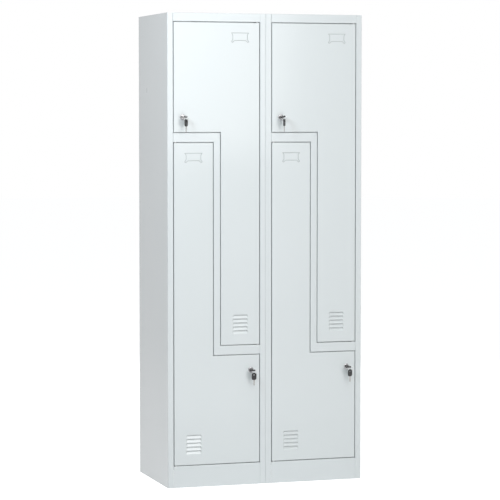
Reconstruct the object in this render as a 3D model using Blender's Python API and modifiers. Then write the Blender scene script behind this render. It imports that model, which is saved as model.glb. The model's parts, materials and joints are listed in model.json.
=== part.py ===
"""Two-bay steel wardrobe locker with four interlocking L-shaped doors.

Each bay is a carcass of folded sheet. A Z-shaped face frame and the folded divider
behind it part the bay into two L-shaped compartments. Every door hangs on two pivot
pins, and a cam lock holds its free edge. The key in each lock carries a ring with the
spare key on it.

Metres, +Z up, the front towards -Y. The origin is on the floor, in the middle of the
space that the locker and its keys take up.
"""

import math

import bmesh
import bpy
from mathutils import Euler, Matrix, Vector

# Carcass
HEIGHT = 1.850
BAY_WIDTH = 0.400
DEPTH = 0.430
SHEET = 0.001
BEND_RADIUS = 0.0015
SEAT = 0.0003
OVERRUN = 0.002
STILE = 0.023
TOP_RAIL = 0.033
PLINTH = 0.085
FLANGE = 0.015

# Door field: the gaps, the stops behind the doors and the Z frame between them
DOOR_GAP = 0.003
DOOR_DEPTH = 0.016
DOOR_LIP = 0.012
STOP_GAP = 0.0005
STOP_LIP = 0.008
WIDE_HEIGHT = 0.4255
STRIP_WIDTH = 0.026
BAR_HEIGHT = 0.0355
MITRE_WIDTH = 0.0005
MITRE_DEPTH = 0.0003

# Pivot pins, measured from the door's hinge edge and front face
PIN_RADIUS = 0.0025
PIN_INSET = 0.008
PIN_SETBACK = 0.006
PIN_REACH = 0.009
COLLAR_RADIUS = 0.0045
RUNNING = 0.0003

# Louvres at the foot of each door's long column, pressed inwards from a slot at their top
LOUVRE_COUNT = 5
LOUVRE_PITCH = 0.0154
LOUVRE_WIDTH = 0.064
LOUVRE_HEIGHT = 0.013
LOUVRE_DEPTH = 0.0055
LOUVRE_WAIST = 0.006
LOUVRE_TOE = 0.002
LOUVRE_SHOULDER = 0.0035
LOUVRE_RAMP = 0.003
LOUVRE_BAND = 0.002
SLOT_GAP = 0.0005
VENT_RISE = 0.0428

# Card holder below the top of each column, pressed inwards as a line
CARD_WIDTH = 0.071
CARD_HEIGHT = 0.0365
CARD_DROP = 0.040
LINE_HALF_WIDTH = 0.0013
LINE_DEPTH = 0.0016
LINE_SWELL = 0.0006

# Hat-section stiffener on the back of each door
STIFFENER_WIDTH = 0.024
STIFFENER_DEPTH = 0.011
STIFFENER_FOOT = 0.006
STIFFENER_INSET = 0.0205
STIFFENER_END = 0.014

# Hanging rods
ROD_RADIUS = 0.008
ROD_DROP = 0.065
SOCKET_RADIUS = 0.0105
SOCKET_LENGTH = 0.010
SOCKET_PLATE_RADIUS = 0.017
SOCKET_PLATE = 0.0025

# Cam lock
LOCK_INSET = 0.0355
LOCK_RISE = 0.059
BEZEL_RADIUS = 0.011
BEZEL_DEPTH = 0.0026
BEZEL_CHAMFER = 0.0008
BARREL_RADIUS = 0.009
PLUG_RADIUS = 0.006
PLUG_RECESS = 0.0004
STUD_RADIUS = 0.003
STUD_HEAD_RADIUS = 0.005
STUD_HEAD = 0.0022
CAM_THICKNESS = 0.002
CAM_LENGTH = 0.042
CAM_HALF_WIDTH = 0.0075
CAM_CLEARANCE = 0.0007

# Keys and their ring
BLADE_WIDTH = 0.007
BLADE_THICKNESS = 0.002
BLADE_LENGTH = 0.022
BLADE_TIP = 0.002
KEY_STANDOFF = 0.0045
KEYWAY_END = 0.001
HEAD_WIDTH = 0.024
HEAD_LENGTH = 0.028
HEAD_THICKNESS = 0.0050
HEAD_CORNER = 0.008
HEAD_EDGE = 0.0008
HEAD_HOLE_RADIUS = 0.0043
HEAD_RIM = 0.003
RING_RADIUS = 0.009
RING_WIRE = 0.0008
SPARE_SLACK = 0.0008

# Bolts that join the two bays, one below the floor and one above the rods
BOLT_RADIUS = 0.003
BOLT_HEAD_RADIUS = 0.006
BOLT_HEAD = 0.003
BOLT_RISE = 0.045
BOLT_DROP = 0.050

# How finely round forms are divided
BEND_STEPS = 2
ROUND_STEPS = 22
ROD_STEPS = 14
PIN_STEPS = 10
RING_STEPS = 24
WIRE_STEPS = 6
CORNER_STEPS = 3

# Card holder's right half, clockwise from the top: shares of half its width and height
CARD_HALF_SHARES = ((0.98, 1.00), (0.84, 0.62), (0.83, -0.36), (1.00, -0.86), (0.86, -1.00), (0.66, -0.60))

# Paint, metal and plastic: colour, metallic, roughness
FINISHES = {
    "door_paint": ((0.80, 0.83, 0.83, 1.0), 0.0, 0.28),
    "carcass_paint": ((0.78, 0.81, 0.81, 1.0), 0.0, 0.30),
    "inner_paint": ((0.72, 0.75, 0.75, 1.0), 0.0, 0.38),
    "chrome": ((0.80, 0.80, 0.80, 1.0), 1.0, 0.12),
    "steel": ((0.62, 0.62, 0.61, 1.0), 1.0, 0.32),
    "black_plastic": ((0.02, 0.02, 0.02, 1.0), 0.0, 0.40),
}

# Each lock's rest: the key's own tilt, the ring's turn outwards and the spare key's turn
LOCK_POSES = {
    "left_upper": (0.0, 42.0, 42.0),
    "left_lower": (0.0, 30.0, 30.0),
    "right_upper": (16.0, 37.0, 60.0),
    "right_lower": (0.0, 34.0, 34.0),
}

# Sizes that follow from those above
HALF_BAY = BAY_WIDTH / 2
JAMB = HALF_BAY - STILE
DOOR_HALF = JAMB - DOOR_GAP
INSIDE_HALF = HALF_BAY - SHEET - SEAT
RAIL_UNDERSIDE = HEIGHT - TOP_RAIL
DOOR_TOP = RAIL_UNDERSIDE - DOOR_GAP
DOOR_BOTTOM = PLINTH + DOOR_GAP
MIDDLE = (DOOR_TOP + DOOR_BOTTOM) / 2
STEP = DOOR_TOP - WIDE_HEIGHT
BAR_TOP = STEP - DOOR_GAP
BAR_UNDERSIDE = BAR_TOP - BAR_HEIGHT
NARROW_TOP = BAR_UNDERSIDE - DOOR_GAP
STRIP_HALF = STRIP_WIDTH / 2
COLUMN_EDGE = STRIP_HALF + DOOR_GAP
COLUMN = (COLUMN_EDGE + DOOR_HALF) / 2
STOP = DOOR_DEPTH + STOP_GAP
STOP_BACK = STOP + SHEET
PIN_X = DOOR_HALF - PIN_INSET
HINGE_ROOM = DOOR_GAP + PIN_INSET + math.hypot(PIN_INSET, DOOR_DEPTH - PIN_SETBACK)
BACK_PANEL = DEPTH - SHEET - SEAT - SHEET
INSIDE_BACK = BACK_PANEL - SEAT
DIVIDER_Z = (BAR_TOP + BAR_UNDERSIDE) / 2
LOCK_X = -DOOR_HALF + LOCK_INSET
LOCK_Z = STEP + LOCK_RISE
CAM_FRONT = STOP_BACK + CAM_CLEARANCE
BARREL_END = CAM_FRONT - SEAT - SEAT
PLUG_FACE = -SEAT - BEZEL_DEPTH + PLUG_RECESS
KEY_SHOULDER = PLUG_FACE - KEY_STANDOFF
HEAD_END = KEY_SHOULDER - HEAD_LENGTH
HOLE_Y = HEAD_END + HEAD_RIM + HEAD_HOLE_RADIUS
BOLT_HEIGHTS = (BOLT_RISE, HEIGHT - BOLT_DROP)


def ring_hang(tilt, turn):
    """Where the ring bears on the key's rim, and how far its centre hangs below that."""
    to_edge = (HEAD_RIM + HEAD_HOLE_RADIUS) / math.cos(turn)
    rim = to_edge - HEAD_HOLE_RADIUS
    reach = HEAD_HOLE_RADIUS + rim / 2
    out = Vector((math.sin(turn), -math.cos(turn), 0)) * reach
    out.rotate(Euler((0, -tilt, 0)))
    rim_radius = math.hypot(rim, HEAD_THICKNESS) / 2
    drop = RING_RADIUS - RING_WIRE - rim_radius - SEAT
    return Vector((0, HOLE_Y, 0)) + out, drop


def key_reach(name):
    """How far a lock's ring and spare key stand out in front of the doors."""
    tilt, turn, spare_turn = (math.radians(angle) for angle in LOCK_POSES[name])
    rim, _ = ring_hang(tilt, turn)
    ring = RING_RADIUS * math.cos(turn) + RING_WIRE
    spare = HEAD_WIDTH / 2 * math.sin(spare_turn)
    spare += (HEAD_THICKNESS / 2 - HEAD_EDGE) * math.cos(spare_turn)
    return max(ring, spare) - rim.y


FRONT = (max(key_reach(name) for name in LOCK_POSES) - DEPTH) / 2

for old in list(bpy.data.objects):
    bpy.data.objects.remove(old, do_unlink=True)

PARTS = bpy.data.collections.new("two_bay_z_locker")
TOOLS = bpy.data.collections.new("cutters")
for group in (PARTS, TOOLS):
    bpy.context.scene.collection.children.link(group)


def paint(name):
    """The material of one finish."""
    material = bpy.data.materials.get(name) or bpy.data.materials.new(name)
    material.use_nodes = True
    colour, metallic, roughness = FINISHES[name]
    shader = material.node_tree.nodes["Principled BSDF"]
    shader.inputs["Base Color"].default_value = colour
    shader.inputs["Metallic"].default_value = metallic
    shader.inputs["Roughness"].default_value = roughness
    material.diffuse_color = colour
    return material


def empty(name, location, home=None):
    """A point that pieces hang from: a bay's middle or a joint's axis."""
    point = bpy.data.objects.new(name, None)
    point.location = location
    point.parent = home
    point.empty_display_size = STILE
    PARTS.objects.link(point)
    return point


def place(name, mesh, home, finish=None, location=(0, 0, 0), rotation=(0, 0, 0)):
    """A piece in its home's frame, or a cutter where no finish is given."""
    piece = bpy.data.objects.new(name, mesh)
    piece.parent = home
    piece.location = location
    piece.rotation_euler = rotation
    if finish:
        PARTS.objects.link(piece)
        if not mesh.materials:
            mesh.materials.append(paint(finish))
    else:
        TOOLS.objects.link(piece)
        piece.hide_render = True
        piece.display_type = "WIRE"
    return piece


def mesh_from(bm, name):
    """A mesh datablock from a finished bmesh."""
    mesh = bpy.data.meshes.new(name)
    bm.to_mesh(mesh)
    bm.free()
    return mesh


def add_box(bm, low, high):
    """A box between two corners."""
    low, high = Vector(low), Vector(high)
    size = high - low
    bmesh.ops.create_cube(bm, size=1, matrix=Matrix.LocRotScale((low + high) / 2, None, size))


def add_drum(bm, centre, along, radius, length, steps=ROUND_STEPS):
    """A cylinder about an axis named X, Y or Z."""
    lay = {"X": Euler((0, math.pi / 2, 0)), "Y": Euler((math.pi / 2, 0, 0)), "Z": Euler((0, 0, 0))}
    matrix = Matrix.LocRotScale(Vector(centre), lay[along], (1, 1, 1))
    bmesh.ops.create_cone(
        bm, cap_ends=True, segments=steps, radius1=radius, radius2=radius, depth=length, matrix=matrix
    )


def add_plate(bm, outline, front, back):
    """A flat plate facing the front, from its (x, z) corners, counter-clockwise."""
    loops = [[bm.verts.new((x, y, z)) for x, z in outline] for y in (front, back)]
    near, far = loops
    bm.faces.new(near)
    bm.faces.new(reversed(far))
    for k in range(len(outline)):
        n = (k + 1) % len(outline)
        bm.faces.new((near[n], near[k], far[k], far[n]))


def boolean(piece, bm, operation, label):
    """Cuts a tool out of a piece, or welds it on."""
    tool = place(f"{piece.name}_{label}", mesh_from(bm, f"{piece.name}_{label}"), piece.parent)
    tool.location = piece.location
    modifier = piece.modifiers.new(label, "BOOLEAN")
    modifier.operation = operation
    modifier.solver = "EXACT"
    modifier.object = tool


def cut(piece, bm, label="cuts"):
    boolean(piece, bm, "DIFFERENCE", label)


def weld_on(piece, bm, label="welds"):
    boolean(piece, bm, "UNION", label)


def thicken(piece):
    """Gives an open surface the sheet's thickness, behind its outer face."""
    shell = piece.modifiers.new("sheet", "SOLIDIFY")
    shell.thickness = SHEET
    shell.offset = -1
    shell.use_even_offset = True


def round_folds(bm, edges):
    """Rounds the outer side of a sheet's folds."""
    bmesh.ops.bevel(
        bm, geom=edges, offset=BEND_RADIUS, segments=BEND_STEPS, profile=0.5, affect="EDGES"
    )


def folded(name, profile, along, reach, home, finish):
    """A sheet folded along an open profile, whose right-hand side is its outer face.

    The profile's pairs are (x, y) for a piece along Z, (y, z) along X and (z, x) along Y.
    """
    order = "XYZXY"
    first, second = order[order.index(along) + 1], order[order.index(along) + 2]
    axes = {"X": Vector((1, 0, 0)), "Y": Vector((0, 1, 0)), "Z": Vector((0, 0, 1))}
    bm = bmesh.new()
    rows = [
        [bm.verts.new(axes[first] * a + axes[second] * b + axes[along] * end) for a, b in profile]
        for end in reach
    ]
    near, far = rows
    for k in range(len(profile) - 1):
        bm.faces.new((near[k], near[k + 1], far[k + 1], far[k]))
    round_folds(bm, [bm.edges.get((near[k], far[k])) for k in range(1, len(profile) - 1)])
    piece = place(name, mesh_from(bm, name), home, finish)
    thicken(piece)
    return piece


def pan(name, outline, depth, home, finish):
    """A face with a wall round its edge and lips at the back, folded from one sheet.

    The outline's corners are (x, z, lip), counter-clockwise from the front. A lip turns
    inwards from the edge that starts at its corner.
    """
    bm = bmesh.new()
    count = len(outline)
    corners = [Vector((x, z)) for x, z, _ in outline]
    inward = []
    for k in range(count):
        run = (corners[(k + 1) % count] - corners[k]).normalized()
        inward.append(Vector((-run.y, run.x)) * outline[k][2])
    lips = [corners[k] + inward[k] + inward[k - 1] for k in range(count)]

    def ring(points, y):
        return [bm.verts.new((p.x, y, p.y)) for p in points]

    front, back, inner = ring(corners, 0), ring(corners, depth), ring(lips, depth)
    bm.faces.new(front)
    for k in range(count):
        n = (k + 1) % count
        bm.faces.new((front[n], front[k], back[k], back[n]))
        if outline[k][2]:
            bm.faces.new((back[n], back[k], inner[k], inner[n]))
    spare = [vert for vert in bm.verts if not vert.link_faces]
    bmesh.ops.delete(bm, geom=spare, context="VERTS")
    round_folds(bm, [bm.edges.get((front[k], front[(k + 1) % count])) for k in range(count)])
    piece = place(name, mesh_from(bm, name), home, finish)
    thicken(piece)
    return piece


def turned(name, profile, home, finish, location, rotation=(0, 0, 0), steps=ROUND_STEPS, closed=False):
    """A profile of (radius, height) turned about its own Z, listed from the top down."""
    mesh = bpy.data.meshes.new(name)
    edges = [(k, k + 1) for k in range(len(profile) - 1)]
    if closed:
        edges.append((len(profile) - 1, 0))
    mesh.from_pydata([(radius, 0, height) for radius, height in profile], edges, [])
    piece = place(name, mesh, home, finish, location, rotation)
    screw = piece.modifiers.new("turn", "SCREW")
    screw.steps = steps
    screw.render_steps = steps
    screw.use_merge_vertices = True
    screw.merge_threshold = SHEET / 100
    screw.use_smooth_shade = True
    return piece


def spun(x, z):
    """The same place on the other door: half a turn about the bay's middle."""
    return -x, 2 * MIDDLE - z


def side_panel(name, side, home):
    """A full-height side with its front stile, jamb and back flange; side is -1 or 1."""
    profile = [
        (side * (HALF_BAY - FLANGE), DEPTH),
        (side * HALF_BAY, DEPTH),
        (side * HALF_BAY, 0),
        (side * JAMB, 0),
        (side * JAMB, STOP_BACK),
    ]
    if side > 0:
        profile.reverse()
    panel = folded(name, profile, "Z", (0, HEIGHT), home, "carcass_paint")

    stop_low, stop_high = BAR_TOP + STOP_LIP + SEAT, RAIL_UNDERSIDE - STOP_LIP - SEAT
    if side > 0:
        stop_low, stop_high = (2 * MIDDLE - stop_high, 2 * MIDDLE - stop_low)
    welds = bmesh.new()
    lip = sorted((side * (JAMB + SHEET / 2), side * (JAMB - STOP_LIP)))
    foot = sorted((side * (HALF_BAY - SHEET / 2), side * (HALF_BAY - FLANGE)))
    add_box(welds, (lip[0], STOP, stop_low), (lip[1], STOP_BACK, stop_high))
    add_box(welds, (foot[0], 2 * SHEET + SEAT, 0), (foot[1], INSIDE_BACK, SHEET))
    weld_on(panel, welds)

    cuts = bmesh.new()
    notch = sorted((side * (HALF_BAY - SHEET), side * (JAMB - OVERRUN)))
    add_box(
        cuts,
        (notch[0], SHEET, HEIGHT - SHEET - SEAT),
        (notch[1], STOP_BACK + OVERRUN, HEIGHT + OVERRUN),
    )
    if home.name == ("left_bay" if side > 0 else "right_bay"):
        for height in BOLT_HEIGHTS:
            add_drum(
                cuts, (side * HALF_BAY, DEPTH / 2, height), "X", BOLT_RADIUS + SEAT, FLANGE, PIN_STEPS
            )
    cut(panel, cuts)
    return panel


def corner_notches(cuts, reach, low, high):
    """Cuts both front corners back, so that the piece passes between the stiles."""
    for side in (-1, 1):
        across = sorted((side * (JAMB - SEAT), side * (HALF_BAY + OVERRUN)))
        add_box(cuts, (across[0], -OVERRUN, low), (across[1], reach, high))


def side_flanges(welds, low, high):
    """Strips turned down along both sides of a sheet."""
    for side in (-1, 1):
        across = sorted((side * INSIDE_HALF, side * (INSIDE_HALF - SHEET)))
        add_box(welds, (across[0], STOP_BACK + SHEET, low), (across[1], INSIDE_BACK - 2 * SHEET, high))


def pin_hole(cuts, x, z):
    """A hole for a pivot pin's shank through the sheet at a height."""
    add_drum(cuts, (x, PIN_SETBACK, z), "Z", PIN_RADIUS + RUNNING, SHEET + 2 * OVERRUN, PIN_STEPS)


def top_panel(name, home):
    """The top, with the rail over the doors and the stop behind their top edge."""
    profile = [
        (INSIDE_BACK, HEIGHT - FLANGE),
        (INSIDE_BACK, HEIGHT),
        (0, HEIGHT),
        (0, RAIL_UNDERSIDE),
        (STOP_BACK, RAIL_UNDERSIDE),
    ]
    panel = folded(name, profile, "X", (-INSIDE_HALF, INSIDE_HALF), home, "carcass_paint")
    welds = bmesh.new()
    add_box(
        welds,
        (-JAMB + SEAT, STOP, RAIL_UNDERSIDE - STOP_LIP),
        (JAMB - HINGE_ROOM, STOP_BACK, RAIL_UNDERSIDE + SHEET / 2),
    )
    side_flanges(welds, HEIGHT - FLANGE, HEIGHT - SHEET / 2)
    weld_on(panel, welds)
    corners = bmesh.new()
    corner_notches(corners, SHEET + SEAT, HEIGHT - TOP_RAIL / 2, HEIGHT + OVERRUN)
    cut(panel, corners, "corners")
    cuts = bmesh.new()
    corner_notches(cuts, STOP_BACK + OVERRUN, RAIL_UNDERSIDE - OVERRUN, HEIGHT - 2 * SHEET)
    pin_hole(cuts, PIN_X, RAIL_UNDERSIDE)
    cut(panel, cuts)
    return panel


def bottom_panel(name, home):
    """The floor of the bay and the plinth below the doors, with the lower stop."""
    profile = [
        (INSIDE_BACK, PLINTH - FLANGE),
        (INSIDE_BACK, PLINTH),
        (0, PLINTH),
        (0, 0),
        (FLANGE, 0),
    ]
    panel = folded(name, profile, "X", (-INSIDE_HALF, INSIDE_HALF), home, "carcass_paint")
    welds = bmesh.new()
    add_box(
        welds,
        (-JAMB + HINGE_ROOM, STOP, PLINTH - SHEET / 2),
        (JAMB - SEAT, STOP_BACK, PLINTH + STOP_LIP),
    )
    side_flanges(welds, PLINTH - FLANGE, PLINTH - SHEET / 2)
    weld_on(panel, welds)
    cuts = bmesh.new()
    corner_notches(cuts, STOP_BACK + SEAT, -OVERRUN, PLINTH + OVERRUN)
    pin_hole(cuts, -PIN_X, PLINTH)
    cut(panel, cuts)
    return panel


def back_panel(name, home):
    """The flat sheet that closes the back, in front of the sides' back flanges."""
    bm = bmesh.new()
    add_box(bm, (-INSIDE_HALF, BACK_PANEL, 0), (INSIDE_HALF, BACK_PANEL + SHEET, HEIGHT))
    return place(name, mesh_from(bm, name), home, "carcass_paint")


def z_frame(name, home):
    """The Z-shaped channel between the two doors, with a stop lip along each door's edge."""
    end = JAMB - SEAT
    hinge_end = JAMB - HINGE_ROOM
    low_top = 2 * MIDDLE - BAR_UNDERSIDE
    half = [(-end, BAR_TOP), (-end, BAR_UNDERSIDE), (-STRIP_HALF, BAR_UNDERSIDE)]
    half += [(-STRIP_HALF, 2 * MIDDLE - BAR_TOP)]
    outline = [(x, z, 0) for x, z in half + [spun(x, z) for x, z in half]]
    frame = pan(name, outline, STOP_BACK, home, "carcass_paint")
    inner = SHEET / 2
    lip = [
        (-end, BAR_TOP - inner),
        (STRIP_HALF - inner, BAR_TOP - inner),
        (STRIP_HALF - inner, low_top - inner),
        (hinge_end, low_top - inner),
        (hinge_end, low_top + STOP_LIP),
        (STRIP_HALF + STOP_LIP, low_top + STOP_LIP),
        (STRIP_HALF + STOP_LIP, BAR_TOP + STOP_LIP),
        (-end, BAR_TOP + STOP_LIP),
    ]
    lips = bmesh.new()
    add_plate(lips, lip, STOP, STOP_BACK)
    add_plate(lips, [spun(x, z) for x, z in lip], STOP, STOP_BACK)
    weld_on(frame, lips)
    mitres = bmesh.new()
    seam = Vector((-STRIP_WIDTH, 0, -BAR_HEIGHT)).normalized() * MITRE_WIDTH / 2
    across = [(STRIP_HALF, BAR_TOP), (-STRIP_HALF, BAR_UNDERSIDE)]
    groove = [(x + seam.z, z - seam.x) for x, z in across]
    groove += [(x - seam.z, z + seam.x) for x, z in reversed(across)]
    add_plate(mitres, groove, -OVERRUN, MITRE_DEPTH)
    add_plate(mitres, [spun(x, z) for x, z in groove], -OVERRUN, MITRE_DEPTH)
    cut(frame, mitres, "mitres")
    cuts = bmesh.new()
    pin_hole(cuts, -PIN_X, BAR_UNDERSIDE)
    pin_hole(cuts, *spun(-PIN_X, BAR_UNDERSIDE))
    cut(frame, cuts)
    return frame


def divider(name, home):
    """The sheet behind the Z frame that parts the upper compartment from the lower one."""
    low = 2 * MIDDLE - DIVIDER_Z
    right = INSIDE_HALF - SHEET
    profile = [
        (DIVIDER_Z - FLANGE, -INSIDE_HALF),
        (DIVIDER_Z, -INSIDE_HALF),
        (DIVIDER_Z, SHEET / 2),
        (low, SHEET / 2),
        (low, right),
        (low + FLANGE, right),
    ]
    sheet = folded(name, profile, "Y", (SHEET + SEAT, INSIDE_BACK), home, "inner_paint")
    cuts = bmesh.new()
    inner = JAMB - SEAT - SHEET - SEAT
    for side, height in ((-1, DIVIDER_Z), (1, low)):
        across = sorted((side * inner, side * (HALF_BAY + OVERRUN)))
        add_box(
            cuts,
            (across[0], -OVERRUN, height - FLANGE - OVERRUN),
            (across[1], STOP_BACK + SEAT, height + FLANGE + OVERRUN),
        )
    cut(sheet, cuts)
    return sheet


def rod(name, left, right, z, home):
    """A hanging rod from wall to wall, with a flanged socket at each end."""
    half = (right - left) / 2
    end = [
        (SOCKET_PLATE_RADIUS, half),
        (SOCKET_PLATE_RADIUS, half - SOCKET_PLATE),
        (SOCKET_RADIUS, half - SOCKET_PLATE),
        (SOCKET_RADIUS, half - SOCKET_LENGTH),
        (ROD_RADIUS, half - SOCKET_LENGTH),
    ]
    profile = [(0, half)] + end + [(radius, -height) for radius, height in reversed(end)] + [(0, -half)]
    middle = ((left + right) / 2, DEPTH / 2, z)
    return turned(name, profile, home, "steel", middle, (0, math.pi / 2, 0), ROD_STEPS)


def pivot_pin(name, x, gap_low, home):
    """A pin across a door gap: its collar carries the door, its ends run in both flanges."""
    end = DOOR_GAP / 2 + PIN_REACH
    collar = DOOR_GAP / 2 - SEAT
    tip = PIN_RADIUS / 2
    profile = [(0, end), (tip, end), (PIN_RADIUS, end - tip), (PIN_RADIUS, collar), (COLLAR_RADIUS, collar)]
    profile += [(radius, -height) for radius, height in reversed(profile)]
    location = (x, PIN_SETBACK, gap_low + DOOR_GAP / 2)
    return turned(name, profile, home, "steel", location, steps=PIN_STEPS)


def door_outline():
    """The upper door: full width above the step, one column below it."""
    return [
        (-DOOR_HALF, DOOR_TOP),
        (-DOOR_HALF, STEP),
        (COLUMN_EDGE, STEP),
        (COLUMN_EDGE, 2 * MIDDLE - NARROW_TOP),
        (DOOR_HALF, 2 * MIDDLE - NARROW_TOP),
        (DOOR_HALF, DOOR_TOP),
    ]


def add_louvre(bm, x, z, near, level, swell, gap):
    """A louvre's pressing, or the hollow in front of it: its outline, then its deep top edge."""
    half, top = LOUVRE_WIDTH / 2 + swell, LOUVRE_HEIGHT + gap
    mouth = [(half - LOUVRE_TOE, 0), (half, LOUVRE_WAIST), (half - LOUVRE_SHOULDER, top)]
    deep_half = half - LOUVRE_SHOULDER - LOUVRE_RAMP
    deep = [(deep_half, LOUVRE_HEIGHT - LOUVRE_BAND), (deep_half, top)]
    rings = []
    for points, y in ((mouth, near), (mouth, level), (deep, level + LOUVRE_DEPTH)):
        loop = points + [(-u, v) for u, v in reversed(points)]
        rings.append([bm.verts.new((x + u, y, z + v)) for u, v in loop])
    start, rim, end = rings
    faces = [bm.faces.new(start), bm.faces.new(end)]
    for k in range(len(start)):
        n = (k + 1) % len(start)
        faces.append(bm.faces.new((start[k], start[n], rim[n], rim[k])))
    walls = [
        (rim[0], rim[1], end[0]),
        (rim[1], end[1], end[0]),
        (rim[1], rim[2], end[1]),
        (rim[2], rim[3], end[2], end[1]),
        (rim[3], rim[4], end[2]),
        (rim[4], end[3], end[2]),
        (rim[4], rim[5], end[3]),
        (rim[5], rim[0], end[0], end[3]),
    ]
    faces += [bm.faces.new(wall) for wall in walls]
    bmesh.ops.recalc_face_normals(bm, faces=faces)


def add_card_line(bm, x, z, near, level, swell):
    """The card holder's outline as a line pressed inwards, or the hollow in front of it."""
    half_width, half_height = CARD_WIDTH / 2, CARD_HEIGHT / 2
    right = [Vector((u * half_width, v * half_height)) for u, v in CARD_HALF_SHARES]
    loop = right + [Vector((-point.x, point.y)) for point in reversed(right)]
    count = len(loop)
    rings = []
    for k, point in enumerate(loop):
        before = (point - loop[k - 1]).normalized()
        after = (loop[(k + 1) % count] - point).normalized()
        across = Vector((-before.y - after.y, before.x + after.x)).normalized()
        side = across * (LINE_HALF_WIDTH + swell) / across.dot(Vector((-before.y, before.x)))
        section = [
            (point + side, near),
            (point + side, level),
            (point, level + LINE_DEPTH),
            (point - side, level),
            (point - side, near),
        ]
        rings.append([bm.verts.new((x + place.x, y, z + place.y)) for place, y in section])
    faces = []
    for k in range(count):
        here, there = rings[k], rings[(k + 1) % count]
        for j in range(len(here)):
            n = (j + 1) % len(here)
            faces.append(bm.faces.new((here[j], here[n], there[n], there[j])))
    bmesh.ops.recalc_face_normals(bm, faces=faces)


def door(name, lower, home):
    """A door pan with its card holder, louvres, lock hole and pivot holes."""
    outline = door_outline()
    column, hinge, lock, foot, top = COLUMN, PIN_X, (LOCK_X, LOCK_Z), 2 * MIDDLE - NARROW_TOP, DOOR_TOP
    if lower:
        outline = [spun(x, z) for x, z in outline]
        column, hinge, lock, foot, top = -COLUMN, -PIN_X, spun(*lock), DOOR_BOTTOM, NARROW_TOP
    pivot = empty(f"{name}_pivot", (hinge, PIN_SETBACK, MIDDLE), home)
    frame = [(x, z, DOOR_LIP) for x, z in outline]
    panel = pan(name, frame, DOOR_DEPTH, pivot, "door_paint")
    panel.location = -pivot.location

    pressings, hollows = bmesh.new(), bmesh.new()
    card = top - CARD_DROP - CARD_HEIGHT / 2
    add_card_line(pressings, column, card, SHEET / 2, SHEET, LINE_SWELL)
    add_card_line(hollows, column, card, -OVERRUN, 0, 0)
    for k in range(LOUVRE_COUNT):
        height = foot + VENT_RISE + k * LOUVRE_PITCH
        add_louvre(pressings, column, height, SHEET / 2, SHEET, SHEET / 2, 0)
        add_louvre(hollows, column, height, -OVERRUN, 0, 0, SLOT_GAP)
    weld_on(panel, pressings, "pressings")
    cut(panel, hollows, "hollows")

    cuts = bmesh.new()
    add_drum(cuts, (lock[0], SHEET / 2, lock[1]), "Y", BARREL_RADIUS + SEAT, SHEET + 2 * OVERRUN)
    pin_hole(cuts, hinge, foot)
    pin_hole(cuts, hinge, top)
    cut(panel, cuts)
    return pivot, lock, foot, top


def stiffener(name, lower, foot, top, pivot):
    """The hat section that stiffens a door's column, set beside its louvres."""
    middle = COLUMN_EDGE + STIFFENER_INSET
    half = STIFFENER_WIDTH / 2
    near, far = SHEET + SEAT, SHEET + SEAT + STIFFENER_DEPTH
    profile = [
        (middle + half + STIFFENER_FOOT, near + SHEET),
        (middle + half, near + SHEET),
        (middle + half, far),
        (middle - half, far),
        (middle - half, near + SHEET),
        (middle - half - STIFFENER_FOOT, near + SHEET),
    ]
    if lower:
        profile = [(-x, y) for x, y in reversed(profile)]
    reach = (foot + STIFFENER_END, top - STIFFENER_END)
    piece = folded(name, profile, "Z", reach, pivot, "inner_paint")
    piece.location = -pivot.location
    return piece


def lock_barrel(name, centre, home):
    """The fixed body of a lock, with its bezel in front of the door."""
    front = SEAT + BEZEL_DEPTH
    bore = PLUG_RADIUS + RUNNING
    profile = [
        (bore, front),
        (BEZEL_RADIUS - BEZEL_CHAMFER, front),
        (BEZEL_RADIUS, front - BEZEL_CHAMFER),
        (BEZEL_RADIUS, SEAT),
        (BARREL_RADIUS, SEAT),
        (BARREL_RADIUS, -BARREL_END),
        (bore, -BARREL_END),
    ]
    return turned(name, profile, home, "chrome", centre, (math.pi / 2, 0, 0), closed=True)


def lock_plug(name, centre, tilt, home):
    """The turning core: keyway in front, and the stud that holds the cam behind."""
    shoulder = -(CAM_FRONT - SEAT)
    head = -(CAM_FRONT + CAM_THICKNESS + SEAT)
    profile = [
        (0, -PLUG_FACE),
        (PLUG_RADIUS, -PLUG_FACE),
        (PLUG_RADIUS, shoulder),
        (STUD_RADIUS, shoulder),
        (STUD_RADIUS, head),
        (STUD_HEAD_RADIUS, head),
        (STUD_HEAD_RADIUS, head - STUD_HEAD),
        (0, head - STUD_HEAD),
    ]
    plug = turned(name, profile, home, "chrome", centre, (math.pi / 2, 0, 0))
    plug.rotation_euler = (math.pi / 2, -tilt, 0)
    keyway = bmesh.new()
    half_width, half_height = BLADE_WIDTH / 2 + RUNNING, BLADE_THICKNESS / 2 + RUNNING
    depth = BLADE_LENGTH - KEY_STANDOFF + KEYWAY_END
    add_box(
        keyway,
        (-half_width, PLUG_FACE - OVERRUN, -half_height),
        (half_width, PLUG_FACE + depth, half_height),
    )
    cut(plug, keyway, "keyway")
    tool = plug.modifiers["keyway"].object
    tool.location = plug.location
    tool.rotation_euler = (0, -tilt, 0)
    return plug


def rounded(half_width, half_length, radius):
    """Corner points of a rounded rectangle about the origin, counter-clockwise."""
    points = []
    corners = ((1, 1, 0), (-1, 1, 1), (-1, -1, 2), (1, -1, 3))
    for x, y, quarter in corners:
        for step in range(CORNER_STEPS + 1):
            angle = (quarter + step / CORNER_STEPS) * math.pi / 2
            across = x * (half_width - radius) + radius * math.cos(angle)
            points.append((across, y * (half_length - radius) + radius * math.sin(angle)))
    return points


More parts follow.
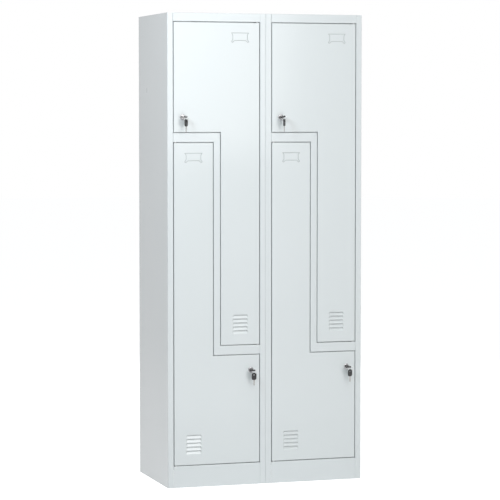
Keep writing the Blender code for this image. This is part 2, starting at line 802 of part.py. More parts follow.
def slab(points, low, high):
    """A flat outline in XY with a thickness along Z."""
    bm = bmesh.new()
    face = bm.faces.new([bm.verts.new((x, y, low)) for x, y in points])
    face.normal_flip()
    lifted = bmesh.ops.extrude_face_region(bm, geom=[face])
    verts = [item for item in lifted["geom"] if isinstance(item, bmesh.types.BMVert)]
    bmesh.ops.translate(bm, verts=verts, vec=(0, 0, high - low))
    bmesh.ops.recalc_face_normals(bm, faces=bm.faces)
    return bm


def cam(name, centre, tilt, home):
    """The flat tongue on the back of the plug, pointing up when the door is free to open."""
    points = []
    for step in range(2 * CORNER_STEPS + 1):
        angle = step / (2 * CORNER_STEPS) * math.pi
        reach = CAM_LENGTH - CAM_HALF_WIDTH
        points.append((CAM_HALF_WIDTH * math.cos(angle), reach + CAM_HALF_WIDTH * math.sin(angle)))
    points += [(-x, CAM_LENGTH - CAM_HALF_WIDTH - y) for x, y in points]
    bm = slab(points, -CAM_FRONT - CAM_THICKNESS, -CAM_FRONT)
    piece = place(name, mesh_from(bm, name), home, "steel", centre, (math.pi / 2, -tilt, 0))
    hole = bmesh.new()
    add_drum(hole, (0, CAM_FRONT, 0), "Y", STUD_RADIUS + SEAT, CAM_THICKNESS + FLANGE, PIN_STEPS)
    cut(piece, hole, "hole")
    return piece


def key_mesh():
    """One key about its lock's axis: the blade towards +Y, the holed head towards -Y."""
    middle = (KEY_SHOULDER + HEAD_END) / 2
    outline = rounded(HEAD_WIDTH / 2, HEAD_LENGTH / 2, HEAD_CORNER)
    head = slab([(x, middle + y) for x, y in outline], -HEAD_THICKNESS / 2, HEAD_THICKNESS / 2)
    rim = [edge for edge in head.edges if abs(edge.verts[0].co.z - edge.verts[1].co.z) < SEAT]
    bmesh.ops.bevel(head, geom=rim, offset=HEAD_EDGE, segments=1, profile=0.5, affect="EDGES")
    piece = place("key_blank", mesh_from(head, "key_blank"), None, "black_plastic")
    blade = bmesh.new()
    add_box(
        blade,
        (-BLADE_WIDTH / 2, KEY_SHOULDER - HEAD_EDGE - BLADE_TIP, -BLADE_THICKNESS / 2),
        (BLADE_WIDTH / 2, KEY_SHOULDER + BLADE_LENGTH, BLADE_THICKNESS / 2),
    )
    tip = [v for v in blade.verts if v.co.y > KEY_SHOULDER]
    for vert in tip:
        vert.co.x *= (BLADE_WIDTH / 2 - BLADE_TIP) / (BLADE_WIDTH / 2)
    weld_on(piece, blade, "blade")
    hole = bmesh.new()
    add_drum(hole, (0, HOLE_Y, 0), "Z", HEAD_HOLE_RADIUS, HEAD_THICKNESS + 2 * OVERRUN, ROUND_STEPS)
    cut(piece, hole, "hole")
    bpy.context.view_layer.update()
    evaluated = piece.evaluated_get(bpy.context.evaluated_depsgraph_get())
    mesh = bpy.data.meshes.new_from_object(evaluated)
    for modifier in list(piece.modifiers):
        bpy.data.objects.remove(modifier.object, do_unlink=True)
    bpy.data.objects.remove(piece, do_unlink=True)
    return mesh


def key_set(name, centre, blank, home):
    """The key in a lock, the ring through its head and the spare key on the ring."""
    tilt, turn, spare_turn = (math.radians(angle) for angle in LOCK_POSES[name])
    turning = empty(f"{name}_plug_axis", centre, home)
    lock_plug(f"{name}_lock_plug", (0, 0, 0), tilt, turning)
    cam(f"{name}_cam", (0, 0, 0), tilt, turning)
    sliding = empty(f"{name}_key_axis", (0, 0, 0), turning)
    place(f"{name}_key", blank, sliding, "black_plastic", rotation=(0, -tilt, 0))

    rim, drop = ring_hang(tilt, turn)
    swing = empty(f"{name}_ring_axis", rim, sliding)
    bm = bmesh.new()
    mesh = bpy.data.meshes.new(f"{name}_key_ring")
    steps = [k / RING_STEPS * 2 * math.pi for k in range(RING_STEPS)]
    around = [k / WIRE_STEPS * 2 * math.pi for k in range(WIRE_STEPS)]
    loops = []
    for turn_angle in steps:
        loop = []
        for wire_angle in around:
            radius = RING_RADIUS + RING_WIRE * math.cos(wire_angle)
            height = RING_WIRE * math.sin(wire_angle)
            loop.append(bm.verts.new((radius * math.cos(turn_angle), radius * math.sin(turn_angle), height)))
        loops.append(loop)
    for k in range(RING_STEPS):
        this, following = loops[k], loops[(k + 1) % RING_STEPS]
        for j in range(WIRE_STEPS):
            n = (j + 1) % WIRE_STEPS
            bm.faces.new((this[j], following[j], following[n], this[n]))
    bm.to_mesh(mesh)
    bm.free()
    place(f"{name}_key_ring", mesh, swing, "steel", (0, 0, -drop), (0, math.pi / 2, turn))
    wire_top = -drop - RING_RADIUS + RING_WIRE
    hole_centre = wire_top + SPARE_SLACK - HEAD_HOLE_RADIUS
    hang = Euler((-math.pi / 2, 0, spare_turn))
    offset = Vector((0, HOLE_Y, 0))
    offset.rotate(hang)
    place(
        f"{name}_spare_key", blank, swing, "black_plastic", Vector((0, 0, hole_centre)) - offset, hang
    )


def bay(side, home_name, blank, locker):
    """One bay with its two doors and everything they carry."""
    home = empty(home_name, (side * (BAY_WIDTH + SEAT) / 2, 0, 0), locker)
    prefix = home_name.split("_")[0]
    side_panel(f"{prefix}_bay_left_side", -1, home)
    side_panel(f"{prefix}_bay_right_side", 1, home)
    back_panel(f"{prefix}_bay_back", home)
    top_panel(f"{prefix}_bay_top", home)
    bottom_panel(f"{prefix}_bay_floor", home)
    z_frame(f"{prefix}_bay_z_frame", home)
    divider(f"{prefix}_bay_divider", home)
    rod(f"{prefix}_upper_rod", -INSIDE_HALF, INSIDE_HALF, DOOR_TOP - ROD_DROP, home)
    wall = -SHEET / 2 - SEAT
    rod(f"{prefix}_lower_rod", -INSIDE_HALF, wall, NARROW_TOP - ROD_DROP, home)
    lower_gap = 2 * MIDDLE - BAR_UNDERSIDE
    pivot_pin(f"{prefix}_upper_door_top_pin", PIN_X, DOOR_TOP, home)
    pivot_pin(f"{prefix}_upper_door_bottom_pin", PIN_X, lower_gap, home)
    pivot_pin(f"{prefix}_lower_door_top_pin", -PIN_X, NARROW_TOP, home)
    pivot_pin(f"{prefix}_lower_door_bottom_pin", -PIN_X, PLINTH, home)
    for level, lower in (("upper", False), ("lower", True)):
        name = f"{prefix}_{level}"
        pivot, lock, foot, top = door(f"{name}_door", lower, home)
        stiffener(f"{name}_stiffener", lower, foot, top, pivot)
        centre = Vector((lock[0], 0, lock[1])) - pivot.location
        lock_barrel(f"{name}_lock_barrel", centre, pivot)
        key_set(name, centre, blank, pivot)


def bay_bolt(name, z, home):
    """A round-headed bolt through both inner sides, with its nut."""
    grip = SEAT / 2 + SHEET + SEAT
    end = grip + BOLT_HEAD
    crown = BOLT_HEAD_RADIUS / 2
    head = [(0, end), (crown, end), (BOLT_HEAD_RADIUS, end - BOLT_HEAD / 2), (BOLT_HEAD_RADIUS, grip)]
    profile = head + [(BOLT_RADIUS, grip), (BOLT_RADIUS, -grip)]
    profile += [(radius, -height) for radius, height in reversed(head)]
    return turned(name, profile, home, "steel", (0, DEPTH / 2, z), (0, math.pi / 2, 0), PIN_STEPS)


locker_frame = empty("locker", (0, FRONT, 0))
key_blank = key_mesh()
bay(-1, "left_bay", key_blank, locker_frame)
bay(1, "right_bay", key_blank, locker_frame)
for label, level in zip(("lower", "upper"), BOLT_HEIGHTS):
    bay_bolt(f"{label}_bay_bolt", level, locker_frame)
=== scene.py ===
"""Studio scene for the two-bay Z-door locker.

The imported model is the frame. Its nodes keep their shapes and get paint, plating and soft
edges. Finer bezels, keys and split rings stand in for the plain ones. Metres, +Z up, the
front towards -Y.
"""

import json
import math

import bmesh
import bpy
from mathutils import Euler, Matrix, Vector


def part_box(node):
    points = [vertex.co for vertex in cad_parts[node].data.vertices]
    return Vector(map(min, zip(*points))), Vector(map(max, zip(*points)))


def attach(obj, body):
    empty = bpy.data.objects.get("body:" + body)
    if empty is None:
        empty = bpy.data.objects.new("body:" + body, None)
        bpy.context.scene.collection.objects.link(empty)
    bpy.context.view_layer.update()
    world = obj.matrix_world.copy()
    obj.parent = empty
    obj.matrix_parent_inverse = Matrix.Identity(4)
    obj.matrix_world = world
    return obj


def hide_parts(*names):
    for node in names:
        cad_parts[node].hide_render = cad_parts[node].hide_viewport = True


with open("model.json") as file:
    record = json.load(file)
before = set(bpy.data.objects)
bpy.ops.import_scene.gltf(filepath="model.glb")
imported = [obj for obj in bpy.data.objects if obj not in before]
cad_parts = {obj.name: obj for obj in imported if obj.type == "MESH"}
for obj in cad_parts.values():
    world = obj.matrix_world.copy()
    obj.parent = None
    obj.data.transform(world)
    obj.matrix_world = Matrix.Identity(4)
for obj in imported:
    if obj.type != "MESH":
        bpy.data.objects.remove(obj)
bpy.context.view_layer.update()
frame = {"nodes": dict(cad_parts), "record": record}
NODES = frame["nodes"]
JOINTS = {joint["name"]: joint for joint in frame["record"]["behaviour"]["joints"]}
LOCKS = ("left_upper", "left_lower", "right_upper", "right_lower")
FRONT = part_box("left_bay_left_side")[0].y

# Sheet edges
EDGE_SOFTNESS = 0.00022
EDGE_STEPS = 2
EDGE_ANGLE = math.radians(28)
WELD_DISTANCE = 0.000005

# Lock barrels
BORE_RADIUS = 0.0063
BORE_CHAMFER = 0.0003
FACE_DROP = 0.0002
BARREL_RADIUS = 0.009
BEZEL_SEAT = 0.0003
CROWN_RADIUS = 0.0033
CROWN_STEPS = 8
THREAD_START = 0.001
THREAD_PITCH = 0.0008
THREAD_DEPTH = 0.0004
THREAD_END = 0.002
BARREL_SIDES = 56
BARREL_CRISP = math.radians(35)

# Key heads
HEAD_HALF_WIDTH = 0.0118
HEAD_LENGTH = 0.0278
HEAD_HALF_THICK = 0.00245
HEAD_CORNER = 0.008
HEAD_HOLE = 0.0044
HEAD_RIM = 0.003
HEAD_RIM_HOLE = 0.0043
# the outline's inset and the drop below the face: side, rounded edge, raised rim, sunken field
HEAD_EDGE = (
    (0.0, 0.0010),
    (0.0003, 0.0004),
    (0.0010, 0.0),
    (0.0022, 0.0),
    (0.0027, 0.00045),
    (0.0034, 0.0005),
)
# the step out from the hole and the drop below the face: the hole's raised lip
HOLE_LIP = ((0.0012, 0.0005), (0.0008, 0.0001), (0.0003, 0.0002), (0.0, 0.0008))
CORNER_STEPS = 10
KEY_CRISP = math.radians(32)

# Key blades
BLADE_REACH = 0.022
BLADE_HALF_WIDTH = 0.0035
BLADE_HALF_THICK = 0.0010
BLADE_ROOT = -0.0035
BLADE_TIP = 0.0016
BLADE_TIP_SHARE = 0.62
BLADE_END_HALF = 0.0010
NOTCH_FROM = 0.004
NOTCH_FIRST = 0.0055
NOTCH_PITCH = 0.0019
NOTCH_EDGE = 0.97
NOTCH_MOUTH = 0.32
NOTCH_BED = 0.10
NOTCHES = (0.0004, 0.0011, 0.0006, 0.0014, 0.0009, 0.0004, 0.0012, 0.0002)
BLADE_TAPER = 0.002 / BLADE_HALF_WIDTH * 0.55
GROOVE_MIDDLE = -0.0006
GROOVE_HALF = 0.0007
GROOVE_DEPTH = 0.00035
GROOVE_BED = 0.6
GROOVE_STOP = 0.001

# Split rings
RING_RADIUS = 0.009
RING_WIRE = 0.00040
RING_STRETCH_OUT = 1.5
RING_STRETCH_SIDE = 0.96
RING_STEPS = 72
RING_SIDES = 10
RING_TURNS = 2
RING_START = 0.7
CROSSING_FROM = 0.93
CROSSING_SHARE = 0.14

# How the locks' pieces are turned in the photograph
KEY_TILTS = {"right_upper": math.radians(16.0)}
SPARE_TURNS = {"left_upper": math.radians(50.0), "right_upper": math.radians(60.0)}

# Studio
FLOOR_RADIUS = 30.0
FLOOR_SIDES = 96
FLOOR_GREY = (0.80, 0.80, 0.80, 1.0)
FLOOR_SEEN_GREY = (0.50, 0.50, 0.50, 1.0)
FLOOR_GLOW = 0.94
FILL_STRENGTH = 0.12
WHITE = (1.0, 1.0, 1.0)
COOL = (0.88, 0.95, 1.0)
COOLER = (0.84, 0.93, 1.0)
# name, place, target, size, power, colour, and the rays that don't see it
LAMPS = (
    ("sheen_softbox", (0.10, -3.4, 2.30), (-0.1, 0.0, 1.2), 2.2, 28.0, WHITE, "diffuse"),
    ("near_softbox", (-1.65, -1.30, 2.35), (-0.1, 0.0, 1.3), 0.4, 14.8, COOLER, "glossy"),
    ("top_softbox", (-0.4, -3.8, 3.8), (0.0, 0.0, 0.9), 4.0, 65.0, WHITE, None),
    ("middle_fill", (0.0, -3.5, 2.2), (0.0, 0.0, 0.9), 4.6, 46.0, WHITE, "glossy"),
    ("low_fill", (0.2, -3.2, 0.5), (0.0, 0.0, 0.4), 1.6, 15.0, WHITE, "glossy"),
    ("back_fill", (1.6, 3.6, 2.0), (0.0, 0.0, 1.1), 2.6, 44.0, WHITE, "glossy"),
)

# The photograph's view, solved from the front's corners and edges
CAMERA_PLACE = (-2.681, -8.217 + FRONT, 1.457)
CAMERA_YAW = math.radians(17.66)
CAMERA_PITCH = math.radians(3.52)
CAMERA_FOCAL_PIXELS = 2202.0
PHOTO_PIXELS = 500
SENSOR_WIDTH = 36.0
CLIP_START, CLIP_END = 0.1, 100.0


# Materials

def new_material(name):
    """A material with its tree, its Principled shader and its object coordinates."""
    material = bpy.data.materials.new(name)
    material.use_nodes = True
    tree = material.node_tree
    shader = tree.nodes["Principled BSDF"]
    coords = tree.nodes.new("ShaderNodeTexCoord").outputs["Object"]
    return material, tree, shader, coords


def noise(tree, coords, scale, detail=2.0):
    """A noise value over the surface."""
    texture = tree.nodes.new("ShaderNodeTexNoise")
    texture.inputs["Scale"].default_value = scale
    texture.inputs["Detail"].default_value = detail
    tree.links.new(coords, texture.inputs["Vector"])
    return texture.outputs["Fac"]


def spread(tree, value, low, high, from_low=0.3, from_high=0.7, clamp=True):
    """The value stretched to a range of its own."""
    node = tree.nodes.new("ShaderNodeMapRange")
    node.clamp = clamp
    node.inputs["From Min"].default_value = from_low
    node.inputs["From Max"].default_value = from_high
    node.inputs["To Min"].default_value = low
    node.inputs["To Max"].default_value = high
    tree.links.new(value, node.inputs["Value"])
    return node.outputs["Result"]


def mixed(tree, value, first, second):
    """A colour between two, by a value."""
    node = tree.nodes.new("ShaderNodeMix")
    node.data_type = "RGBA"
    node.clamp_factor = False
    node.inputs["A"].default_value = (*first, 1.0)
    node.inputs["B"].default_value = (*second, 1.0)
    tree.links.new(value, node.inputs["Factor"])
    return node.outputs["Result"]


def bump(tree, shader, height, strength, distance, under=None):
    """Relief from a height, laid over another if given."""
    node = tree.nodes.new("ShaderNodeBump")
    node.inputs["Strength"].default_value = strength
    node.inputs["Distance"].default_value = distance
    tree.links.new(height, node.inputs["Height"])
    if under:
        tree.links.new(under, node.inputs["Normal"])
    tree.links.new(node.outputs["Normal"], shader.inputs["Normal"])
    return node.outputs["Normal"]


def painted_crease_shade(tree, colour, depth, reach):
    """The colour with painted shade: darkened by ambient occlusion in the folds and pressings of
    its own sheet.
    """
    shade = tree.nodes.new("ShaderNodeAmbientOcclusion")
    shade.only_local = True
    shade.samples = 16
    shade.inputs["Distance"].default_value = reach
    node = tree.nodes.new("ShaderNodeMix")
    node.data_type = "RGBA"
    node.blend_type = "MULTIPLY"
    node.inputs["Factor"].default_value = 1.0
    tree.links.new(colour, node.inputs["A"])
    grey = spread(tree, shade.outputs["AO"], 1.0 - depth, 1.0, from_low=0.55, from_high=0.95)
    tree.links.new(grey, node.inputs["B"])
    return node.outputs["Result"]


def powder_coat(name, light, dark, roughness, skin, crease_shade=0.0):
    """Powder coat: a faint drift of tone, the sheet's slow waves, orange peel and, where asked,
    painted shade in its pressings.

    skin is the roughness of its glossy surface. The last argument sets how deep the painted shade
    in its pressings is.
    """
    material, tree, shader, coords = new_material(name)
    whole = {"from_low": 0.0, "from_high": 1.0, "clamp": False}
    drift = spread(tree, noise(tree, coords, scale=1.6, detail=3.0), -0.3, 1.3, **whole)
    colour = mixed(tree, drift, light, dark)
    # painted shade: ambient occlusion darkens the colour in the sheet's folds and pressings
    if crease_shade:
        colour = painted_crease_shade(tree, colour, crease_shade, reach=0.004)
    tree.links.new(colour, shader.inputs["Base Color"])
    cloud = noise(tree, coords, scale=5.0)
    gloss = spread(tree, cloud, roughness - 0.06, roughness + 0.06, **whole)
    tree.links.new(gloss, shader.inputs["Roughness"])
    shader.inputs["Specular IOR Level"].default_value = 0.1
    shader.inputs["Coat Weight"].default_value = 1.0
    shader.inputs["Coat IOR"].default_value = 1.65
    shader.inputs["Coat Roughness"].default_value = skin
    waves = noise(tree, coords, scale=2.5, detail=1.0)
    waves = bump(tree, shader, waves, strength=0.08, distance=0.002)
    peel = noise(tree, coords, scale=420.0, detail=1.0)
    bump(tree, shader, peel, strength=0.04, distance=0.0001, under=waves)
    return material


def metal(name, light, dark, roughness):
    """Bare or plated metal with a faint grain."""
    material, tree, shader, coords = new_material(name)
    shader.inputs["Metallic"].default_value = 1.0
    grain = noise(tree, coords, scale=60.0, detail=3.0)
    colour = mixed(tree, spread(tree, grain, 0.0, 1.0), light, dark)
    tree.links.new(colour, shader.inputs["Base Color"])
    rough = spread(tree, grain, roughness - 0.04, roughness + 0.06)
    tree.links.new(rough, shader.inputs["Roughness"])
    bump(tree, shader, grain, strength=0.05, distance=0.0001)
    return material


def plastic(name, light, dark, roughness):
    """Moulded plastic with a fine eroded grain."""
    material, tree, shader, coords = new_material(name)
    drift = spread(tree, noise(tree, coords, scale=220.0, detail=3.0), 0.0, 1.0)
    tree.links.new(mixed(tree, drift, light, dark), shader.inputs["Base Color"])
    rough = spread(tree, noise(tree, coords, scale=90.0), roughness - 0.05, roughness + 0.05)
    tree.links.new(rough, shader.inputs["Roughness"])
    grain = noise(tree, coords, scale=2600.0, detail=1.0)
    bump(tree, shader, grain, strength=0.15, distance=0.0001)
    return material


# the door paint carries painted shade in its pressings
DOOR = powder_coat(
    "door_paint_gloss", (0.775, 0.815, 0.82), (0.755, 0.80, 0.80), 0.30, 0.14, crease_shade=0.36
)
CARCASS = powder_coat("carcass_paint_gloss", (0.77, 0.81, 0.815), (0.75, 0.795, 0.80), 0.30, 0.14)
INNER = powder_coat("inner_paint_satin", (0.70, 0.735, 0.74), (0.67, 0.71, 0.71), 0.38, 0.30)
CHROME = metal("bright_chrome", (0.64, 0.64, 0.65), (0.56, 0.56, 0.57), 0.10)
ZINC = metal("zinc_plate", (0.66, 0.66, 0.65), (0.52, 0.53, 0.54), 0.34)
RING_STEEL = metal("spring_steel", (0.72, 0.72, 0.72), (0.60, 0.60, 0.61), 0.20)
# a rougher, darker copy of the chrome for the bezel's crown: the roughness is a satin finish, the
# darker colour is painted shade on the rim
SATIN_SHADED_CHROME = metal("satin_shaded_chrome", (0.48, 0.48, 0.49), (0.40, 0.40, 0.41), 0.18)
NICKEL = metal("nickel_silver", (0.50, 0.49, 0.47), (0.40, 0.39, 0.375), 0.28)
BLACK = plastic("black_plastic_grain", (0.012, 0.012, 0.013), (0.020, 0.020, 0.021), 0.38)

FINISHES = {
    "door_paint": DOOR,
    "carcass_paint": CARCASS,
    "inner_paint": INNER,
    "chrome": CHROME,
    "steel": ZINC,
    "black_plastic": BLACK,
}


def dress_nodes():
    """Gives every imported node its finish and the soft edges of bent, coated sheet."""
    slots = {part["node"]: part["material_slot"] for part in frame["record"]["subparts"]}
    for name, node in NODES.items():
        for slot in node.material_slots:
            slot.material = FINISHES[slots[name]]
        joined = node.modifiers.new("joined", "WELD")
        joined.merge_threshold = WELD_DISTANCE
        soft = node.modifiers.new("soft_edges", "BEVEL")
        soft.width = EDGE_SOFTNESS
        soft.segments = EDGE_STEPS
        soft.limit_method = "ANGLE"
        soft.angle_limit = EDGE_ANGLE
        soft.harden_normals = True


# Locks, keys and rings

def finish_piece(piece, body, node):
    """Ties a scene piece to its body and the node that it stands for."""
    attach(piece, body)
    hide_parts(node)


def object_from(bm, name, materials=()):
    """A smooth-shaded object from a finished bmesh."""
    mesh = bpy.data.meshes.new(name)
    bm.to_mesh(mesh)
    bm.free()
    for material in materials:
        mesh.materials.append(material)
    mesh.polygons.foreach_set("use_smooth", [True] * len(mesh.polygons))
    piece = bpy.data.objects.new(name, mesh)
    bpy.context.scene.collection.objects.link(piece)
    return piece


def keep_crisp(piece, angle):
    """Splits the piece's shading at edges sharper than the angle."""
    piece.modifiers.new("crisp", "EDGE_SPLIT").split_angle = angle


def span(bm, here, there, materials=None):
    """A band of faces between two closed rows of vertices."""
    count = len(here)
    for k in range(count):
        n = (k + 1) % count
        face = bm.faces.new((here[k], here[n], there[n], there[k]))
        if materials:
            face.material_index = materials[k]


def barrel_piece(lock):
    """The lock's barrel with a crowned bezel, a threaded body and a fine bore, its crown darker as
    painted shade.
    """
    low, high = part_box(f"{lock}_lock_barrel")
    centre = Vector(((low.x + high.x) / 2, FRONT, (low.z + high.z) / 2))
    bezel = (high.x - low.x) / 2
    front = FRONT - low.y
    back = high.y - FRONT
    matrix = Matrix.Translation(centre) @ Euler((math.pi / 2, 0, 0)).to_matrix().to_4x4()

    profile = [(BORE_RADIUS, front - FACE_DROP), (BORE_RADIUS + BORE_CHAMFER, front)]
    shaded_crown_from = len(profile)
    for k in range(CROWN_STEPS + 1):
        angle = k / CROWN_STEPS * math.pi / 2
        radius = bezel - CROWN_RADIUS + CROWN_RADIUS * math.sin(angle)
        profile.append((radius, BEZEL_SEAT + (front - BEZEL_SEAT) * math.cos(angle)))
    profile.append((BARREL_RADIUS, BEZEL_SEAT))
    for k in range(int((back - THREAD_END) / THREAD_PITCH)):
        height = -THREAD_START - k * THREAD_PITCH
        profile.append((BARREL_RADIUS, height))
        profile.append((BARREL_RADIUS - THREAD_DEPTH, height - THREAD_PITCH / 2))
    profile += [(BARREL_RADIUS, -back), (BORE_RADIUS, -back)]
    # the crown gets the darker copy of the chrome, painted shade round the bezel's rim
    shaded_crown = range(shaded_crown_from, shaded_crown_from + CROWN_STEPS)

    bm = bmesh.new()
    rows = []
    for step in range(BARREL_SIDES):
        angle = step / BARREL_SIDES * 2 * math.pi
        points = [Vector((r * math.cos(angle), r * math.sin(angle), h)) for r, h in profile]
        rows.append([bm.verts.new(matrix @ point) for point in points])
    materials = [int(k in shaded_crown) for k in range(len(profile))]
    for step in range(BARREL_SIDES):
        span(bm, rows[step], rows[(step + 1) % BARREL_SIDES], materials)
    bmesh.ops.recalc_face_normals(bm, faces=bm.faces)
    piece = object_from(bm, f"{lock}_bezel_fine", [CHROME, SATIN_SHADED_CHROME])
    keep_crisp(piece, BARREL_CRISP)
    finish_piece(piece, f"{lock}_leaf", f"{lock}_lock_barrel")


def head_outline(inset, height):
    """The key head's rounded outline, drawn in by an inset, at a height."""
    half_width, half_length = HEAD_HALF_WIDTH - inset, HEAD_LENGTH / 2 - inset
    radius = HEAD_CORNER - inset
    points = []
    for sx, sy, quarter in ((1, 1, 0), (-1, 1, 1), (-1, -1, 2), (1, -1, 3)):
        for k in range(CORNER_STEPS + 1):
            angle = (quarter + k / CORNER_STEPS) * math.pi / 2
            x = sx * (half_width - radius) + radius * math.cos(angle)
            y = -HEAD_LENGTH / 2 + sy * (half_length - radius) + radius * math.sin(angle)
            points.append(Vector((x, y, height)))
    return points


def head_hole(radius, height):
    """A circle round the key head's hole, with a point for each one of the outline."""
    centre = -HEAD_LENGTH + HEAD_RIM + HEAD_RIM_HOLE
    count = 4 * (CORNER_STEPS + 1)
    start = math.pi / count
    points = []
    for k in range(count):
        angle = k / count * 2 * math.pi + start
        points.append(Vector((radius * math.cos(angle), centre + radius * math.sin(angle), height)))
    return points


def key_head(bm):
    """The moulded head: outer wall, raised rim, sunken field and hole, the same on both faces."""
    thick = HEAD_HALF_THICK
    section = [(head_outline, 0.0, 0.0)]
    section += [(head_outline, inset, thick - drop) for inset, drop in HEAD_EDGE]
    section += [(head_hole, HEAD_HOLE + step, thick - drop) for step, drop in HOLE_LIP]
    section.append((head_hole, HEAD_HOLE, 0.0))
    other_face = [(row, value, -height) for row, value, height in reversed(section[1:-1])]
    rows = [
        [bm.verts.new(point) for point in row(value, height)]
        for row, value, height in section + other_face
    ]
    for here, there in zip(rows, rows[1:] + rows[:1]):
        span(bm, here, there)


def blade_stations():
    """Places along the blade as (y, right half width, left half width), with the notches cut in."""
    whole, edge = BLADE_HALF_WIDTH, BLADE_HALF_WIDTH * NOTCH_EDGE
    stations = [(BLADE_ROOT, whole, whole), (NOTCH_FROM, whole, whole)]
    for k, depth in enumerate(NOTCHES):
        y = NOTCH_FIRST + k * NOTCH_PITCH
        stations.append((y - NOTCH_PITCH * NOTCH_MOUTH, edge, edge))
        stations.append((y - NOTCH_PITCH * NOTCH_BED, edge - depth, edge))
        stations.append((y + NOTCH_PITCH * NOTCH_BED, edge - depth, edge))
    shoulder = whole * BLADE_TIP_SHARE
    stations.append((BLADE_REACH - BLADE_TIP, shoulder, shoulder))
    stations.append((BLADE_REACH, BLADE_END_HALF, BLADE_END_HALF))
    return stations


def key_blade(bm, material):
    """The blade: a bar with a milled groove on each face and a notched edge."""
    thick = BLADE_HALF_THICK
    sections = []
    for y, right, left in blade_stations():
        share = max(0.0, min(1.0, y / BLADE_REACH))
        narrow = 1 - BLADE_TAPER * share
        right, left = right * narrow, left * narrow
        middle, depth = GROOVE_MIDDLE * narrow, GROOVE_DEPTH
        if y > BLADE_REACH - GROOVE_STOP:
            depth = 0.0
        half, bed = GROOVE_HALF, GROOVE_HALF * GROOVE_BED
        face = [
            (right, thick),
            (middle + half, thick),
            (middle + bed, thick - depth),
            (middle - bed, thick - depth),
            (middle - half, thick),
            (-left, thick),
        ]
        loop = face + [(x, -z) for x, z in reversed(face)]
        sections.append([bm.verts.new((x, y, z)) for x, z in loop])
    materials = [material] * len(sections[0])
    for here, there in zip(sections, sections[1:]):
        span(bm, here, there, materials)
    bm.faces.new(sections[0]).material_index = material
    bm.faces.new(list(reversed(sections[-1]))).material_index = material


def key_piece(name, place, turned, body, node):
    """A finished key, made with its shoulder at the origin, its blade along +Y, its head in XY."""
    bm = bmesh.new()
    key_head(bm)
    key_blade(bm, material=1)
    bmesh.ops.recalc_face_normals(bm, faces=bm.faces)
    matrix = Matrix.Translation(place) @ Euler(turned).to_matrix().to_4x4()
    bmesh.ops.transform(bm, matrix=matrix, verts=bm.verts)
    piece = object_from(bm, name, [BLACK, NICKEL])
    keep_crisp(piece, KEY_CRISP)
    finish_piece(piece, body, node)


def split_ring(lock, turn):
    """A split ring: two turns of wire side by side, joined by a short crossing."""
    low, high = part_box(f"{lock}_key_ring")
    rotation = Euler((0, math.pi / 2, turn)).to_matrix().to_4x4()
    matrix = Matrix.Translation((low + high) / 2) @ rotation
    bm = bmesh.new()
    rings = []
    for k in range(RING_TURNS * RING_STEPS + 1):
        angle = 2 * math.pi * k / RING_STEPS + RING_START
        rise = max(0.0, min(1.0, (k / RING_STEPS - CROSSING_FROM) / CROSSING_SHARE))
        side = -RING_WIRE + 2 * RING_WIRE * (rise * rise * (3 - 2 * rise))
        out = Vector((math.cos(angle), math.sin(angle), 0))
        middle = out * RING_RADIUS + Vector((0, 0, side))
        loop = []
        for j in range(RING_SIDES):
            around = 2 * math.pi * j / RING_SIDES
            outwards = out * math.cos(around) * RING_WIRE * RING_STRETCH_OUT
            sideways = Vector((0, 0, math.sin(around) * RING_WIRE * RING_STRETCH_SIDE))
            loop.append(bm.verts.new(matrix @ (middle + (outwards + sideways))))
        rings.append(loop)
    for here, there in zip(rings, rings[1:]):
        span(bm, here, there)
    bm.faces.new(rings[0])
    bm.faces.new(list(reversed(rings[-1])))
    bmesh.ops.recalc_face_normals(bm, faces=bm.faces)
    piece = object_from(bm, f"{lock}_split_ring", [RING_STEEL])
    finish_piece(piece, f"{lock}_ring_set", f"{lock}_key_ring")


def dress_lock(lock):
    """The bezel, both keys and the ring of one lock."""
    barrel_piece(lock)

    axis = Vector(JOINTS[f"{lock}_lock_turn"]["pos_m"])
    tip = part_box(f"{lock}_key")[1].y
    shoulder = Vector((axis.x, tip - BLADE_REACH, axis.z))
    turned = (0, -KEY_TILTS.get(lock, 0.0), 0)
    key_piece(f"{lock}_key_fine", shoulder, turned, f"{lock}_lock_key", f"{lock}_key")

    swing = Vector(JOINTS[f"{lock}_ring_swing"]["axis"])
    ring_turn = math.atan2(-swing.y, -swing.x)
    split_ring(lock, ring_turn)

    low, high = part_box(f"{lock}_spare_key")
    middle = (low + high) / 2
    shoulder = Vector((middle.x, middle.y, low.z + BLADE_REACH))
    turned = (-math.pi / 2, 0, SPARE_TURNS.get(lock, ring_turn))
    key_piece(f"{lock}_spare_key_fine", shoulder, turned, f"{lock}_ring_set", f"{lock}_spare_key")


# Studio

def seen_by(tree, *rays):
    """A value of 1 for the kinds of ray that are named, and 0 for any other."""
    path = tree.nodes.new("ShaderNodeLightPath")
    value = path.outputs[rays[0]]
    for ray in rays[1:]:
        either = tree.nodes.new("ShaderNodeMath")
        either.operation = "MAXIMUM"
        tree.links.new(value, either.inputs[0])
        tree.links.new(path.outputs[ray], either.inputs[1])
        value = either.outputs[0]
    return value


def chosen(tree, value, first, second, output):
    """Sends the first shader to the output where the value is 0, and the second where it is 1."""
    mix = tree.nodes.new("ShaderNodeMixShader")
    tree.links.new(value, mix.inputs[0])
    tree.links.new(first.outputs[0], mix.inputs[1])
    tree.links.new(second.outputs[0], mix.inputs[2])
    tree.links.new(mix.outputs[0], output.inputs["Surface"])


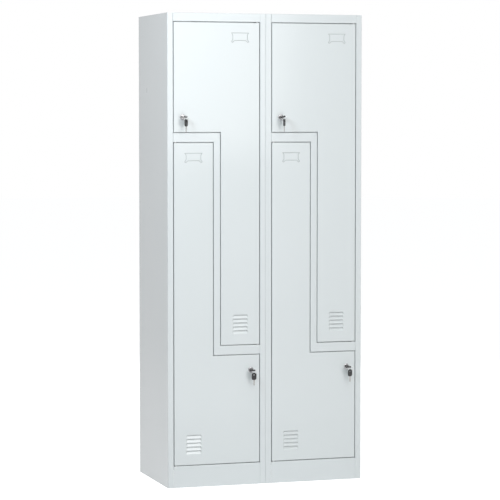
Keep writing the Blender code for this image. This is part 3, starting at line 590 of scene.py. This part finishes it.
def studio_floor():
    """A plain white floor that keeps a soft shadow under the object."""
    bm = bmesh.new()
    bmesh.ops.create_circle(bm, cap_ends=True, segments=FLOOR_SIDES, radius=FLOOR_RADIUS)
    floor = object_from(bm, "studio_floor")
    material = bpy.data.materials.new("studio_white")
    material.use_nodes = True
    material.cycles.emission_sampling = "NONE"
    tree = material.node_tree
    tree.nodes.clear()
    output = tree.nodes.new("ShaderNodeOutputMaterial")
    plain = tree.nodes.new("ShaderNodeBsdfDiffuse")
    plain.inputs["Color"].default_value = FLOOR_GREY
    shaded = tree.nodes.new("ShaderNodeBsdfDiffuse")
    shaded.inputs["Color"].default_value = FLOOR_SEEN_GREY
    glow = tree.nodes.new("ShaderNodeEmission")
    glow.inputs["Strength"].default_value = FLOOR_GLOW
    both = tree.nodes.new("ShaderNodeAddShader")
    tree.links.new(shaded.outputs[0], both.inputs[0])
    tree.links.new(glow.outputs[0], both.inputs[1])
    chosen(tree, seen_by(tree, "Is Camera Ray", "Is Glossy Ray"), plain, both, output)
    floor.data.materials.append(material)


def studio_world():
    """A white surround for the camera, metal and glass, and a plain soft fill for light."""
    world = bpy.data.worlds.new("studio_world")
    bpy.context.scene.world = world
    world.use_nodes = True
    tree = world.node_tree
    fill = tree.nodes["Background"]
    fill.inputs["Color"].default_value = (*COOL, 1.0)
    fill.inputs["Strength"].default_value = FILL_STRENGTH
    surround = tree.nodes.new("ShaderNodeBackground")
    surround.inputs["Color"].default_value = (*WHITE, 1.0)
    surround.inputs["Strength"].default_value = 1.0
    seen = seen_by(tree, "Is Camera Ray", "Is Glossy Ray", "Is Transmission Ray")
    chosen(tree, seen, fill, surround, tree.nodes["World Output"])


def soft_light(name, location, target, size, power, colour, hidden_from):
    """A square area light aimed at a point."""
    data = bpy.data.lights.new(name, "AREA")
    data.shape = "SQUARE"
    data.size = size
    data.energy = power
    data.color = colour
    lamp = bpy.data.objects.new(name, data)
    lamp.location = location
    lamp.rotation_euler = (Vector(location) - Vector(target)).to_track_quat("Z", "Y").to_euler()
    lamp.visible_diffuse = hidden_from != "diffuse"
    lamp.visible_glossy = hidden_from != "glossy"
    bpy.context.scene.collection.objects.link(lamp)


def photo_camera():
    """The camera at the photograph's place and angle."""
    along = Vector((
        math.sin(CAMERA_YAW) * math.cos(CAMERA_PITCH),
        math.cos(CAMERA_YAW) * math.cos(CAMERA_PITCH),
        -math.sin(CAMERA_PITCH),
    ))
    data = bpy.data.cameras.new("photo_camera")
    data.sensor_width = SENSOR_WIDTH
    data.lens = CAMERA_FOCAL_PIXELS / PHOTO_PIXELS * SENSOR_WIDTH
    data.clip_start = CLIP_START
    data.clip_end = CLIP_END
    camera = bpy.data.objects.new("photo_camera", data)
    camera.location = CAMERA_PLACE
    camera.rotation_euler = (-along).to_track_quat("Z", "Y").to_euler()
    bpy.context.scene.collection.objects.link(camera)
    bpy.context.scene.camera = camera


dress_nodes()
for lock_name in LOCKS:
    dress_lock(lock_name)
studio_floor()
studio_world()
for lamp_row in LAMPS:
    soft_light(*lamp_row)
photo_camera()
bpy.context.scene.view_settings.view_transform = "Standard"
